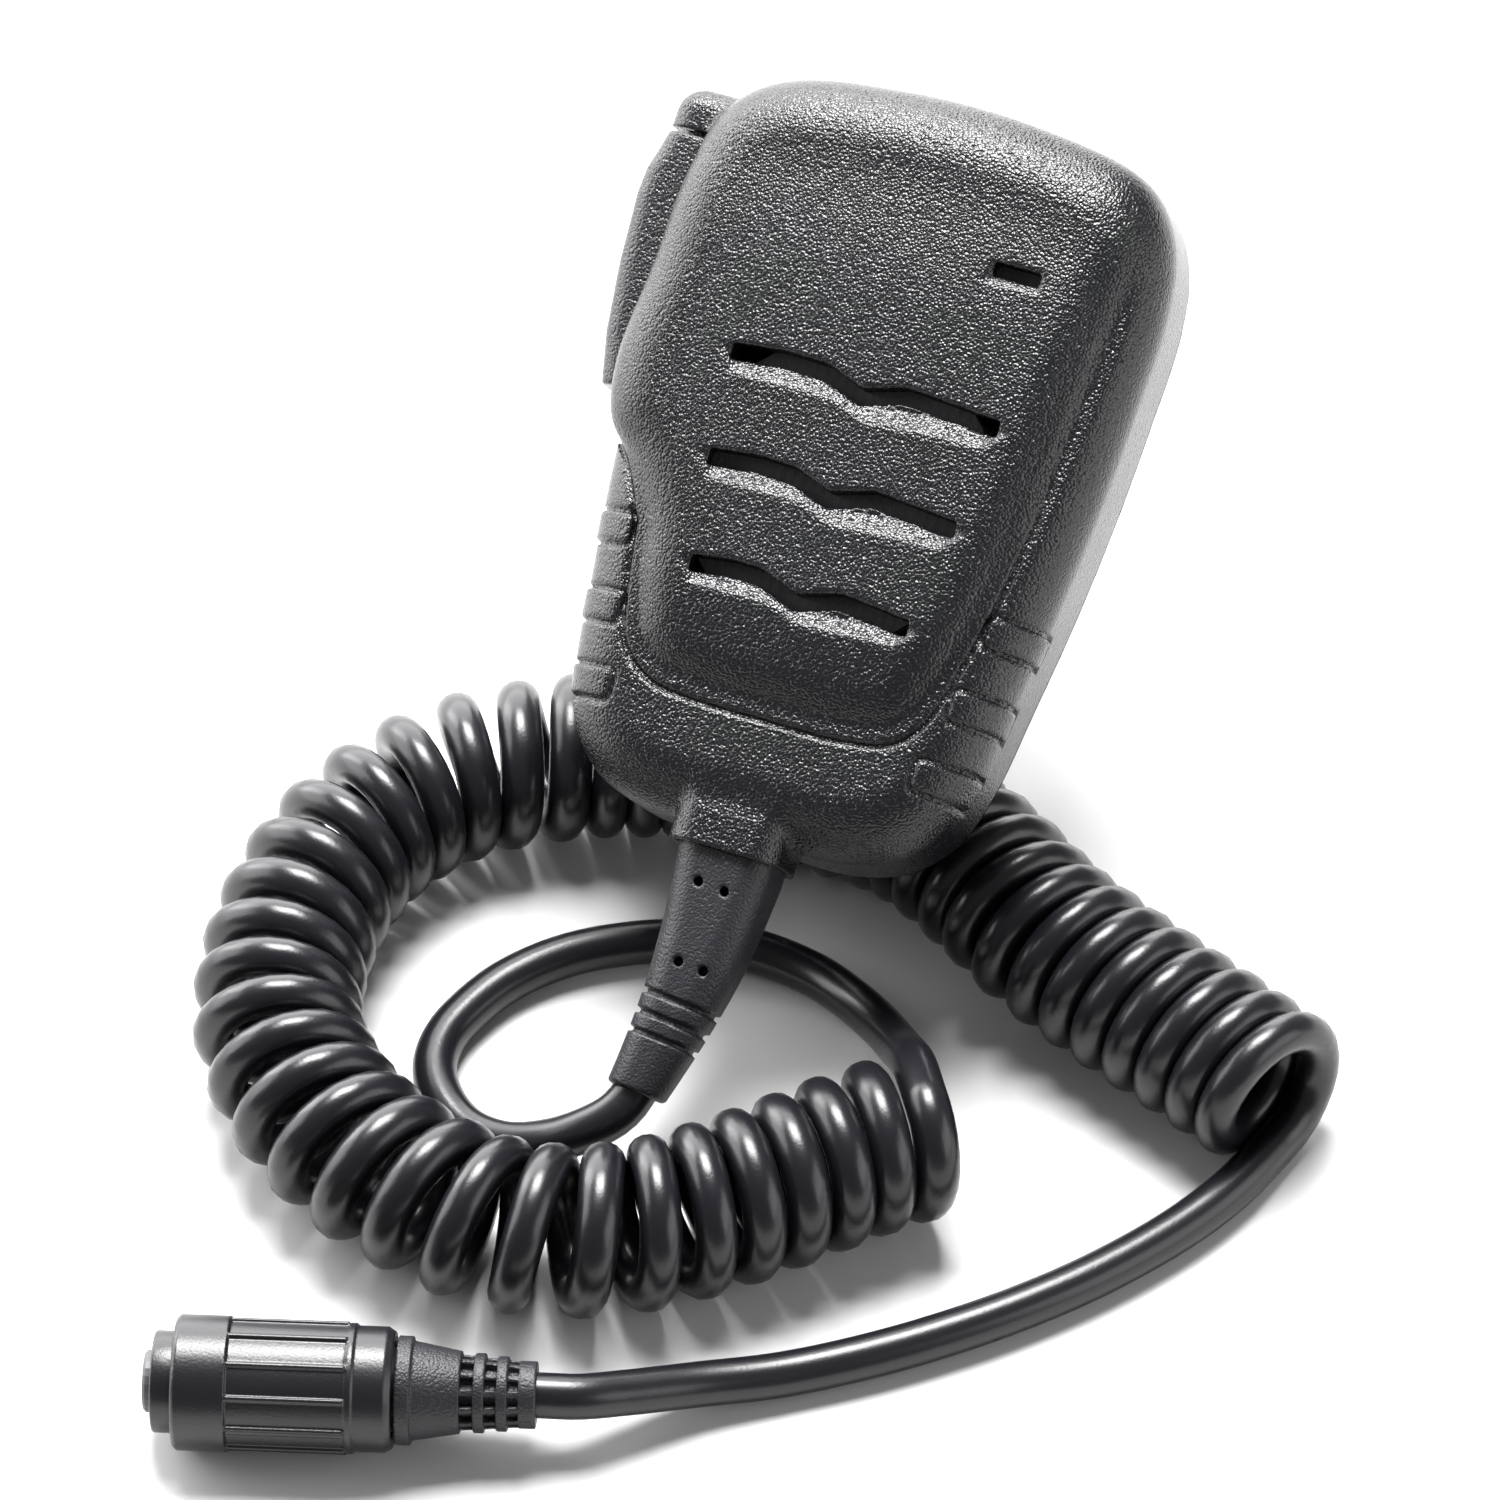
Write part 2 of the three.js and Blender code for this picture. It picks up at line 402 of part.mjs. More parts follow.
const COIL_AXIS = [[36.4, -47.7], [33.2, -50.8], [26.8, -57.9], [20.2, -64.7], [15, -69], [8.8, -72.4], [3, -74.1],
  [-2.5, -74.4], [-8.7, -73.5], [-16.4, -71.3], [-25, -66.3], [-32.2, -58.7], [-35.5, -50.9], [-36.9, -43.8],
  [-37.2, -35.9], [-35.9, -28.1], [-32.9, -21.2], [-28.7, -15.6], [-23.2, -11.2], [-16.5, -7.2], [-8, -3.8],
  [1, -2.4], [12, -2.2], [22, -3.2], [32, -8], [41, -13.4], [50.3, -17.4], [66.9, -23.6], [70.5, -25]];
const CORD_END = [[75.6, -19.3, 10.4], [75.8, -20.1, 6.6], [75.4, -23, 3.7], [73.9, -28, 2.7], [71, -34.1, 2.6],
  [67.7, -41.5, 2.6], [61.6, -51.1, 2.6], [55.2, -59, 2.6], [48.5, -65.9, 2.6], [41.6, -72, 2.6], [34.5, -77.4, 2.7],
  [27.5, -82.4, 3.7], [21, -88, 5.7], [17, -91.3, 7], [13.1, -92.95, PLUG_AXIS_Z]];
const smoothPath = (points) => new THREE.CatmullRomCurve3(points.map((p) => new THREE.Vector3(...p)), false, 'centripetal');
add(table, 'cord_start', tube(smoothPath(CORD_START), CORD_R, 26, 10), CORD);
add(table, 'curly_cord', tube(smoothPath(COIL_AXIS.map(([x, y]) => [x, y, COIL_Z])), COIL_R, 32, 12), CORD);
add(table, 'cord_end', tube(smoothPath(CORD_END), CORD_R, 20, 10), CORD);

// ---- Plug ----------------------------------------------------------------------------------------
const RING = { z0: 3.3, z1: 26.6, r: 7.25, bore: 5.75 };
const CONTACTS = [[0, 0], ...[0, 1, 2, 3, 4, 5].map((i) => [2 * Math.cos(i * Math.PI / 3), 2 * Math.sin(i * Math.PI / 3)])];
let insert = turned([[0, 0], [3.1, 0], [3.35, 0.3], [3.35, 9.4], [0, 9.4]], 24);
for (const [x, y] of CONTACTS) insert = insert.subtract(rod(x, y, -1, 10, 0.65, 8));
add(plug, 'plug_insert', insert, PAPER);
CONTACTS.forEach(([x, y], i) => add(plug, `contact_${i + 1}`, rod(x, y, 0.4, 11.6, 0.35, 8), BRASS));
add(plug, 'plug_shell', turned([[3.65, 1], [5.3, 1], [5.45, 1.2], [5.45, 7.6], [4.7, 7.6], [4.7, 8.9], [5.45, 8.9],
  [5.45, 26.2], [4.4, 26.2], [4.4, 31], [3.8, 31], [3.8, 12], [3.65, 12], [3.65, 1]], 28), BLACK);
add(plug, 'plug_seal', turned([[5, 7.9], [5.5, 7.9], [5.5, 8.6], [5, 8.6], [5, 7.9]], 28), RUBBER);

function couplingRing() {
  let piece = turned([[RING.bore, RING.z0], [6.9, RING.z0], [RING.r, RING.z0 + 0.4], [RING.r, 9], [6.75, 9.2], [6.75, 21.6],
    [6.9, 21.8], [6.7, 22.2], [6.7, 25.8], [6.2, RING.z1], [RING.bore, RING.z1], [RING.bore, RING.z0]], 36);
  for (let i = 0; i < 12; i += 1) {
    const rib = box(6.4, RING.r, -0.3, 0.3, 8.8, 21.8);
    piece = piece.add(rib.rotate([0, 0, 30 * i]));
  }
  return piece;
}
add(plug, 'coupling_ring', couplingRing(), BLACK);

function plugBoot() {
  const profile = [[4.7, 26.9], [5.8, 26.9], [5.8, 28.6], [5.3, 28.7], [4.4, 34.1], [4.35, 35.4], [3.3, 35.5], [3.3, 36.3],
    [4.1, 36.4], [4.0, 37.4], [3.2, 37.5], [3.2, 38.3], [3.8, 38.4], [3.7, 39.2], [3.1, 39.3], [3.1, 39.9],
    [3.45, 40], [3.35, 41.5], [2.8, 41.5], [2.8, 31.4], [4.7, 31.4], [4.7, 26.9]];
  return turned(profile, 28);
}
add(plug, 'plug_boot', plugBoot(), RUBBER);

export default group;
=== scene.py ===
"""The looks of a hand microphone with a curly cord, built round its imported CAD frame."""

import json
import math
from itertools import product

import bpy
import numpy as np
from mathutils import Matrix, Vector


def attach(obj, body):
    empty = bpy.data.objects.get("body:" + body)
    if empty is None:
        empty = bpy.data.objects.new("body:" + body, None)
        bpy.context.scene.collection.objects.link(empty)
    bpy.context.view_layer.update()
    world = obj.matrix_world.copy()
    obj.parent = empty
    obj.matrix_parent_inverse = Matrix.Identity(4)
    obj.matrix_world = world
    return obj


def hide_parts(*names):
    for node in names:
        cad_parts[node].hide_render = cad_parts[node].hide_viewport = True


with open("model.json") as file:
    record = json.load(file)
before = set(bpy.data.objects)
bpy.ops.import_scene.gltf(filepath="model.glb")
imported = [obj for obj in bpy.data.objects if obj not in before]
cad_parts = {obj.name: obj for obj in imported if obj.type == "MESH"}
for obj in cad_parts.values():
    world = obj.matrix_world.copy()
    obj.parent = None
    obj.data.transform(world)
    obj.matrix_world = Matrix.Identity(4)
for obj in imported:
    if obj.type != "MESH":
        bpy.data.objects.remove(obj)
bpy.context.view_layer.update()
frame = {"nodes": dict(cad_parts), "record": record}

# Sizes are in millimetres, in the frames of part.mjs, and these matrices turn them into the row frame.
MM = 0.001
CASE_FOOT = Vector((10.1, -16.8, 12.4))
LEAN = Matrix.Rotation(math.radians(35.5), 4, "X")
MOUNT = CASE_FOOT + LEAN @ Vector((0, 62, 27.5))
BOOT_TOP = Vector((-0.3, -2.6, 18.3))
PLUG_TIP = Vector((-26.4, -106.7, 7.35))
TABLE = Matrix.Scale(MM, 4) @ Matrix.Translation(-MOUNT)
CASE = TABLE @ Matrix.Translation(CASE_FOOT) @ LEAN
BOOT = CASE @ Matrix.Translation(BOOT_TOP) @ Matrix.Rotation(math.radians(90), 4, "X")
BOOT = BOOT @ Matrix.Rotation(math.radians(-5), 4, "Y")
PLUG = TABLE @ Matrix.Translation(PLUG_TIP) @ Matrix.Rotation(math.radians(19.2), 4, "Z")
PLUG = PLUG @ Matrix.Rotation(math.radians(90), 4, "Y")


# ---- Camera ----------------------------------------------------------------------------------

def make_camera():
    azimuth, elevation, distance = math.radians(21.9), math.radians(47), 900
    back = Vector((math.sin(azimuth) * math.cos(elevation), -math.cos(azimuth) * math.cos(elevation),
                   math.sin(elevation)))
    camera = bpy.data.objects.new("camera", bpy.data.cameras.new("camera"))
    camera.data.lens = 190
    camera.data.sensor_width = 36
    camera.data.clip_start = 0.05
    target = Vector((0, 0, 10))
    camera.location = TABLE @ (target + distance * back)
    camera.rotation_euler = back.to_track_quat("Z", "Y").to_euler()
    bpy.context.scene.collection.objects.link(camera)
    bpy.context.scene.camera = camera


make_camera()


# ---- Materials -------------------------------------------------------------------------------

class Nodes:
    """A material's node tree, with short calls to add and join nodes."""

    def __init__(self, name):
        self.material = bpy.data.materials.new(name)
        self.material.use_nodes = True
        self.tree = self.material.node_tree
        self.shader = self.tree.nodes["Principled BSDF"]

    def add(self, kind, **values):
        node = self.tree.nodes.new("ShaderNode" + kind)
        for key, value in values.items():
            if key in node.inputs:
                node.inputs[key].default_value = value
            else:
                setattr(node, key, value)
        return node

    def join(self, source, target):
        self.tree.links.new(source, target)

    def ramp(self, source, *stops):
        node = self.add("ValToRGB")
        elements = node.color_ramp.elements
        while len(elements) < len(stops):
            elements.new(0.5)
        for element, (place, shade) in zip(elements, stops):
            element.position = place
            element.color = (*shade, 1) if isinstance(shade, tuple) else (shade, shade, shade, 1)
        self.join(source, node.inputs["Fac"])
        return node.outputs["Color"]


def moulded(name, colour, roughness, grain, depth, wear=0.2, specular=0.5):
    """Moulded plastic or rubber: an even pebble grain, with soft patches of wear in colour and gloss."""
    nodes = Nodes(name)
    place = nodes.add("TexCoord").outputs["Object"]
    pebble = nodes.add("TexVoronoi", feature="F1", Scale=1000 / grain, Randomness=1.0)
    fine = nodes.add("TexNoise", Scale=1100 / grain, Detail=1.0, Roughness=0.5)
    patches = nodes.add("TexNoise", Scale=70.0, Detail=4.0, Roughness=0.6)
    for texture in (pebble, fine, patches):
        nodes.join(place, texture.inputs["Vector"])
    dome = nodes.add("Math", operation="POWER")
    dome.inputs[1].default_value = 2
    nodes.join(pebble.outputs["Distance"], dome.inputs[0])
    height = nodes.add("Math", operation="MULTIPLY_ADD")
    height.inputs[1].default_value = -1.3
    nodes.join(dome.outputs[0], height.inputs[0])
    nodes.join(fine.outputs["Fac"], height.inputs[2])
    bump = nodes.add("Bump", Strength=1.0, Distance=depth * MM)
    nodes.join(height.outputs[0], bump.inputs["Height"])
    nodes.join(bump.outputs["Normal"], nodes.shader.inputs["Normal"])
    dark = tuple(c * (1 - wear) for c in colour)
    light = tuple(c * (1 + wear) for c in colour)
    shade = nodes.ramp(patches.outputs["Fac"], (0.3, dark), (0.7, light))
    nodes.join(shade, nodes.shader.inputs["Base Color"])
    gloss = nodes.ramp(patches.outputs["Fac"], (0.3, roughness * 1.06), (0.7, roughness * 0.94))
    nodes.join(gloss, nodes.shader.inputs["Roughness"])
    nodes.shader.inputs["Specular IOR Level"].default_value = specular
    return nodes.material


def metal(name, colour, roughness):
    """Plated metal with fine turning marks."""
    nodes = Nodes(name)
    place = nodes.add("TexCoord").outputs["Object"]
    marks = nodes.add("TexNoise", Scale=900.0, Detail=5.0, Roughness=0.7)
    nodes.join(place, marks.inputs["Vector"])
    gloss = nodes.ramp(marks.outputs["Fac"], (0.3, roughness * 0.8), (0.7, roughness * 1.3))
    nodes.join(gloss, nodes.shader.inputs["Roughness"])
    bump = nodes.add("Bump", Strength=0.4, Distance=0.004 * MM)
    nodes.join(marks.outputs["Fac"], bump.inputs["Height"])
    nodes.join(bump.outputs["Normal"], nodes.shader.inputs["Normal"])
    nodes.shader.inputs["Base Color"].default_value = (*colour, 1)
    nodes.shader.inputs["Metallic"].default_value = 1
    return nodes.material


def woven(name, colour):
    """A thin black cloth with a plain weave."""
    nodes = Nodes(name)
    place = nodes.add("TexCoord").outputs["Object"]
    heights = []
    for direction in ("X", "Y"):
        wave = nodes.add("TexWave", bands_direction=direction, Scale=260.0)
        nodes.join(place, wave.inputs["Vector"])
        heights.append(wave.outputs["Fac"])
    both = nodes.add("Math", operation="ADD")
    nodes.join(heights[0], both.inputs[0])
    nodes.join(heights[1], both.inputs[1])
    bump = nodes.add("Bump", Strength=0.7, Distance=0.05 * MM)
    nodes.join(both.outputs[0], bump.inputs["Height"])
    nodes.join(bump.outputs["Normal"], nodes.shader.inputs["Normal"])
    nodes.shader.inputs["Base Color"].default_value = (*colour, 1)
    nodes.shader.inputs["Roughness"].default_value = 0.85
    return nodes.material


# Each moulded one has its colour, its roughness, and the size and depth of its grain in millimetres.
MATERIALS = {
    "front_case": moulded("case_plastic", (0.004, 0.004, 0.0052), 0.26, 0.33, 0.068),
    "talk_key": moulded("key_plastic", (0.006, 0.006, 0.0078), 0.3, 0.33, 0.066),
    "boot": moulded("boot_rubber", (0.012, 0.012, 0.015), 0.45, 0.3, 0.045, specular=0.42),
    "cord": moulded("cord_jacket", (0.006, 0.006, 0.008), 0.29, 0.35, 0.005, wear=0.12, specular=0.45),
    "plug": moulded("plug_plastic", (0.006, 0.006, 0.008), 0.34, 0.3, 0.008),
    "clip": moulded("clip_plastic", (0.022, 0.023, 0.027), 0.42, 0.4, 0.03),
    "seal": moulded("seal_rubber", (0.02, 0.02, 0.022), 0.6, 0.3, 0.008),
    "insulator": moulded("insulator_plastic", (0.06, 0.06, 0.065), 0.45, 0.3, 0.006),
    "board": moulded("board_lacquer", (0.02, 0.09, 0.045), 0.35, 0.3, 0.004),
    "steel": metal("plated_steel", (0.62, 0.62, 0.64), 0.3),
    "brass": metal("plated_brass", (0.80, 0.62, 0.30), 0.28),
    "screen": woven("screen_cloth", (0.05, 0.05, 0.055)),
    "cone": woven("cone_paper", (0.02, 0.02, 0.022)),
}
MATERIALS["rear_case"] = MATERIALS["front_case"]


def dress_cad_nodes():
    """Gives every CAD node that stays in view its finish."""
    for row in frame["record"]["subparts"]:
        mesh = frame["nodes"][row["node"]].data
        mesh.materials.clear()
        mesh.materials.append(MATERIALS[row["material_slot"]])


def smooth_path(points, step):
    """Points at even steps along a centripetal Catmull-Rom curve, as three.js draws it."""
    samples = 24
    p = np.array(points, float)
    p = np.vstack([2 * p[0] - p[1], p, 2 * p[-1] - p[-2]])
    dense = []
    for p0, p1, p2, p3 in zip(p, p[1:], p[2:], p[3:]):
        t1 = np.linalg.norm(p1 - p0) ** 0.5
        t2 = t1 + np.linalg.norm(p2 - p1) ** 0.5
        t3 = t2 + np.linalg.norm(p3 - p2) ** 0.5
        t = np.linspace(t1, t2, samples, endpoint=False)[:, None]
        a1 = (t1 - t) / t1 * p0 + t / t1 * p1
        a2 = (t2 - t) / (t2 - t1) * p1 + (t - t1) / (t2 - t1) * p2
        a3 = (t3 - t) / (t3 - t2) * p2 + (t - t2) / (t3 - t2) * p3
        b1 = (t2 - t) / t2 * a1 + t / t2 * a2
        b2 = (t3 - t) / (t3 - t1) * a2 + (t - t1) / (t3 - t1) * a3
        dense.append((t2 - t) / (t2 - t1) * b1 + (t - t1) / (t2 - t1) * b2)
    dense = np.vstack([*dense, p[-2:-1]])
    length = np.concatenate([[0], np.cumsum(np.linalg.norm(np.diff(dense, axis=0), axis=1))])
    at = np.linspace(0, length[-1], max(2, round(length[-1] / step) + 1))
    return np.stack([np.interp(at, length, dense[:, i]) for i in range(3)], 1)


# ---- Cord ------------------------------------------------------------------------------------
# Routes above the table, as in part.mjs but for their ends, which here meet the helix and run into the boots.
# The coil's own route is the axis of its turns.
CORD_R = 2.5
THINNEST_R = 2.24
TURN_GAP = 0.06
COIL_R = 9.55
COIL_Z = 9.65
POINTS_PER_TURN = 24
CORD_START = [(7.5, -51, 10.5), (7, -52.7, 9.3), (5.9, -54.6, 8.2), (3.2, -56.6, 6.6), (-0.6, -58, 4.6),
              (-5.2, -58.9, 3.2), (-10, -58.2, 2.6), (-14.2, -55.4, 2.6), (-17, -51.4, 2.6),
              (-17.8, -47, 2.6), (-17, -42.4, 2.6),
              (-14.8, -36.8, 2.6), (-10.6, -31.2, 2.6), (-5, -26.8, 2.6), (2, -23.4, 2.6), (9.6, -22, 2.6),
              (16.8, -22.8, 2.6), (22.4, -25.4, 3.4), (27.6, -29.6, 5.6), (32, -35, 9.4), (35.6, -40.6, 14.2)]
COIL_AXIS = [(38.5, -45.6), (33.2, -50.8), (26.8, -57.9), (20.2, -64.7), (15, -69), (8.8, -72.4), (3, -74.1),
             (-2.5, -74.4), (-8.7, -73.5), (-16.4, -71.3), (-25, -66.3), (-32.2, -58.7), (-35.5, -50.9),
             (-36.9, -43.8), (-37.2, -35.9), (-35.9, -28.1), (-32.9, -21.2), (-28.7, -15.6), (-23.2, -11.2),
             (-16.5, -7.2), (-8, -3.8), (1, -2.4), (12, -2.2), (22, -3.2), (32, -8), (41, -13.4),
             (50.3, -17.4), (66.9, -23.6), (73.2, -26.1)]
CORD_END = [(71, -34.1, 2.6), (67.7, -41.5, 2.6), (61.6, -51.1, 2.6), (55.2, -59, 2.6), (48.5, -65.9, 2.6),
            (41.6, -72, 2.6), (34.5, -77.4, 2.7), (27.5, -82.4, 3.7), (21, -88, 5.7), (17, -91.3, 7),
            (13.1, -92.95, 7.35), (6.2, -95.35, 7.35)]
# The coil's turns in order from the case: how many, and how far apart.
COIL_STRETCHES = [(6, 5.2), (1, 5.9), (1, 7), (3, 6.25), (4, 5.85), (2, 5.35), (4, 5.95), (1, 6), (3, 6.35),
                  (11, 4.84), (3, 4.9), (6, 4.53), (0.5, 4.4)]


def coil_turns():
    """The left-handed helix and its cord's radius: it starts on top of its axis and ends under it."""
    axis = smooth_path([(x, y, COIL_Z) for x, y in COIL_AXIS], 0.5)
    along = np.gradient(axis, axis=0)
    step = np.linalg.norm(along, axis=1)
    along /= step[:, None]
    bend = np.linalg.norm(np.gradient(along, axis=0), axis=1) / step
    count, pitch = np.array(COIL_STRETCHES).T
    length = np.concatenate([[0], np.cumsum(count * pitch)])
    turns = np.interp(np.linspace(0, length[-1], len(axis)), length, np.concatenate([[0], np.cumsum(count)]))
    reach = 12
    even = np.ones(2 * reach + 1) / (2 * reach + 1)
    turns, bend = (np.convolve(np.pad(line, reach, mode="reflect", reflect_type="odd"), even, mode="valid")
                   for line in (turns, bend))
    room = (1 - (COIL_R - CORD_R) * bend) / np.gradient(turns) * step
    thick = np.clip((room - TURN_GAP) / 2, THINNEST_R, CORD_R)
    angles = np.linspace(turns[0], turns[-1], round(POINTS_PER_TURN * turns[-1])) * 2 * math.pi
    place = np.interp(angles, turns * 2 * math.pi, np.arange(len(axis)))
    middle, ahead = (np.stack([np.interp(place, np.arange(len(axis)), line[:, i]) for i in range(3)], 1)
                     for line in (axis, along))
    thick = np.interp(place, np.arange(len(axis)), thick)
    up = np.array([0, 0, 1])
    side = np.cross(up, ahead)
    out = np.cos(angles)[:, None] * up + np.sin(angles)[:, None] * side
    return middle + (COIL_R - thick)[:, None] * out, thick


def make_cord():
    """The whole cord as one tube: from the boot, through the coil and on to the plug."""
    step, blend = 1.2, 14
    coil, thick = coil_turns()
    start = smooth_path([*CORD_START, coil[1]], step)[:-1]
    end = smooth_path([coil[-1], *CORD_END], step)[1:]
    route = [TABLE @ Vector(p) for p in np.vstack([start, coil[1:], end])]
    ease_in = np.interp(np.arange(len(coil) - 1), (0, blend, len(coil) - blend, len(coil)), (0, 1, 1, 0))
    radii = np.concatenate([np.ones(len(start)), 1 + ease_in * (thick[1:] / CORD_R - 1), np.ones(len(end))])
    curve = bpy.data.curves.new("cord", "CURVE")
    curve.dimensions = "3D"
    curve.bevel_depth = CORD_R * MM
    curve.bevel_resolution = 6
    curve.use_fill_caps = True
    spline = curve.splines.new("POLY")
    spline.points.add(len(route) - 1)
    for point, place, radius in zip(spline.points, route, radii):
        point.co = (*place, 1)
        point.radius = radius
    spline.use_smooth = True
    cord = bpy.data.objects.new("cord", curve)
    bpy.context.scene.collection.objects.link(cord)
    cord.data.materials.append(MATERIALS["cord"])
    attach(cord, "case")
    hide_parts("cord_start", "curly_cord", "cord_end")
    return cord, sum((b - a).length for a, b in zip(route, route[1:])), route[0]


# ---- Solids from distance fields ---------------------------------------------------------------
# A field gives each point's distance to a surface, negative inside. Its arguments may be grids or lists.

def skin(field, low, high, cell):
    """Points and quads of the surface where a field is zero, inside a box, by surface nets."""
    axes = [np.arange(a, b + cell, cell) for a, b in zip(low, high)]
    shape = tuple(len(a) for a in axes)
    grid = (axes[0][:, None, None], axes[1][None, :, None], axes[2][None, None, :])
    values = np.broadcast_to(field(*grid), shape)
    inside = values < 0
    corners = list(product((0, 1), repeat=3))
    count = sum(inside[i:shape[0] - 1 + i, j:shape[1] - 1 + j, k:shape[2] - 1 + k].astype(np.int8)
                for i, j, k in corners)
    mixed = (count > 0) & (count < 8)
    cells = np.argwhere(mixed)
    number = np.full(mixed.shape, -1)
    number[mixed] = np.arange(len(cells))
    at = np.stack([values[tuple((cells + c).T)] for c in corners], 1)
    total, hits = np.zeros((len(cells), 3)), np.zeros((len(cells), 1))
    for a, b in product(range(8), repeat=2):
        change = np.subtract(corners[b], corners[a])
        if change.min() < 0 or change.sum() != 1:
            continue
        crosses = (at[:, a] < 0) != (at[:, b] < 0)
        share = at[:, a] / np.where(crosses, at[:, a] - at[:, b], 1)
        total += (crosses * 1.0)[:, None] * (corners[a] + share[:, None] * change)
        hits += crosses[:, None]
    points = np.array(low) + (cells + total / hits) * cell
    quads = []
    for axis in range(3):
        first = np.take(inside, range(shape[axis] - 1), axis)
        second = np.take(inside, range(1, shape[axis]), axis)
        b, c = (axis + 1) % 3, (axis + 2) % 3
        for leaving, order in ((first & ~second, 1), (second & ~first, -1)):
            edges = np.argwhere(leaving)
            edges = edges[(edges[:, b] > 0) & (edges[:, b] < shape[b] - 1)
                          & (edges[:, c] > 0) & (edges[:, c] < shape[c] - 1)]
            around = []
            for db, dc in ((1, 1), (0, 1), (0, 0), (1, 0)):
                near = edges.copy()
                near[:, b] -= db
                near[:, c] -= dc
                around.append(number[tuple(near.T)])
            quads.append(np.stack(around, 1)[:, ::order])
    return settle(field, points, cell), np.vstack(quads)


def settle(field, points, cell):
    """Moves points onto the surface along the field's slope."""
    small, least_slope = 0.02, 0.3
    value = field(*points.T)
    slope = np.stack([field(*(points + small * e).T) - value for e in np.eye(3)], 1) / small
    length = np.maximum(np.linalg.norm(slope, axis=1), least_slope)
    return points - np.clip(value / length, -cell / 2, cell / 2)[:, None] * slope / length[:, None]


class Outline:
    """Distance to a closed outline through points, looked up in a table."""

    STEP = 0.25
    MARGIN = 6
    SPACING = 0.9

    def __init__(self, points, smooth=True):
        p = np.array(points, float)
        if smooth:
            p = smooth_path([(x, y, 0) for x, y in np.vstack([p[-3:], p, p[:4]])], self.SPACING)[:, :2]
            half = len(p) // 2
            first = np.argmin(np.linalg.norm(p[:half] - points[0], axis=1))
            last = half + np.argmin(np.linalg.norm(p[half:] - points[0], axis=1))
            p = p[first:last]
        self.low = p.min(0) - self.MARGIN
        x, y = (np.arange(a, b, self.STEP) for a, b in zip(self.low, p.max(0) + self.MARGIN + self.STEP))
        x, y = x[:, None], y[None, :]
        nearest = np.full((x.size, y.size), 1e9)
        inside = np.zeros(nearest.shape, bool)
        for (ax, ay), (bx, by) in zip(p, np.roll(p, -1, 0)):
            share = ((x - ax) * (bx - ax) + (y - ay) * (by - ay)) / ((bx - ax) ** 2 + (by - ay) ** 2)
            share = np.clip(share, 0, 1)
            gap = (x - ax - share * (bx - ax)) ** 2 + (y - ay - share * (by - ay)) ** 2
            nearest = np.minimum(nearest, gap)
            if ay != by:
                inside ^= ((ay > y) != (by > y)) & (x < ax + (y - ay) / (by - ay) * (bx - ax))
        self.table = np.where(inside, -1, 1) * np.sqrt(nearest)

    def __call__(self, x, y):
        u, v = (x - self.low[0]) / self.STEP, (y - self.low[1]) / self.STEP
        i = np.clip(np.floor(u).astype(int), 0, self.table.shape[0] - 2)
        j = np.clip(np.floor(v).astype(int), 0, self.table.shape[1] - 2)
        u, v = u - i, v - j
        low = self.table[i, j] * (1 - v) + self.table[i, j + 1] * v
        high = self.table[i + 1, j] * (1 - v) + self.table[i + 1, j + 1] * v
        return low * (1 - u) + high * u


def rounded_edge(side, top, across, down):
    """Where a wall and a top meet in an elliptical edge: side and top are distances to each."""
    u = np.maximum(side + across, 0) / across
    v = np.maximum(top + down, 0) / down
    inner = np.minimum(np.maximum(side + across, top + down), 0)
    return (np.hypot(u, v) - 1) * min(across, down) + inner


def join(a, b, radius):
    """The union of two fields with a soft fillet."""
    share = np.maximum(radius - np.abs(a - b), 0) / radius
    return np.minimum(a, b) - share * share * radius / 4


def cut(a, b, radius=0.15):
    """Field a with field b taken out, the edge eased."""
    return -join(-a, b, radius)


def block(u, half, radius):
    """A rounded box: u are distances from its middle along each axis."""
    q = [np.abs(c) - h + radius for c, h in zip(u, half)]
    outside = sum(np.maximum(c, 0) ** 2 for c in q) ** 0.5
    inner = q[0]
    for c in q[1:]:
        inner = np.maximum(inner, c)
    return outside + np.minimum(inner, 0) - radius


def ease(value, low, high):
    """0 below low, 1 above high, smooth between."""
    t = np.clip((value - low) / (high - low), 0, 1)
    return t * t * (3 - 2 * t)


def make_piece(name, shape, place, body, slot, *nodes):
    """A smooth mesh object from points and faces in millimetres."""
    points, faces = shape
    mesh = bpy.data.meshes.new(name)
    mesh.from_pydata([place @ Vector(p) for p in points], [], [list(map(int, f)) for f in faces])
    mesh.validate()
    mesh.polygons.foreach_set("use_smooth", [True] * len(mesh.polygons))
    mesh.materials.append(MATERIALS[slot])
    piece = bpy.data.objects.new(name, mesh)
    bpy.context.scene.collection.objects.link(piece)
    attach(piece, body)
    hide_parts(*nodes)
    return piece


def turned(profile, sides=96):
    """Points and quads of a closed profile of (radius, z) turned about z, its corners held by short steps."""
    held = []
    count = len(profile)
    for i, (r, z) in enumerate(profile):
        for other in (profile[i - 1], profile[(i + 1) % count]):
            gap = math.hypot(other[0] - r, other[1] - z)
            share = min(0.12, 0.3 * gap) / gap if gap else 0
            held.append((r + (other[0] - r) * share, z + (other[1] - z) * share))
    angles = np.linspace(0, 2 * math.pi, sides, endpoint=False)
    rings = [[(r * math.cos(a), r * math.sin(a), z) for a in angles] for r, z in held]
    points = [p for ring in rings for p in ring]
    faces = [(i * sides + j, i * sides + (j + 1) % sides, k * sides + (j + 1) % sides, k * sides + j)
             for i, k in zip(range(len(rings)), [*range(1, len(rings)), 0]) for j in range(sides)]
    return points, faces


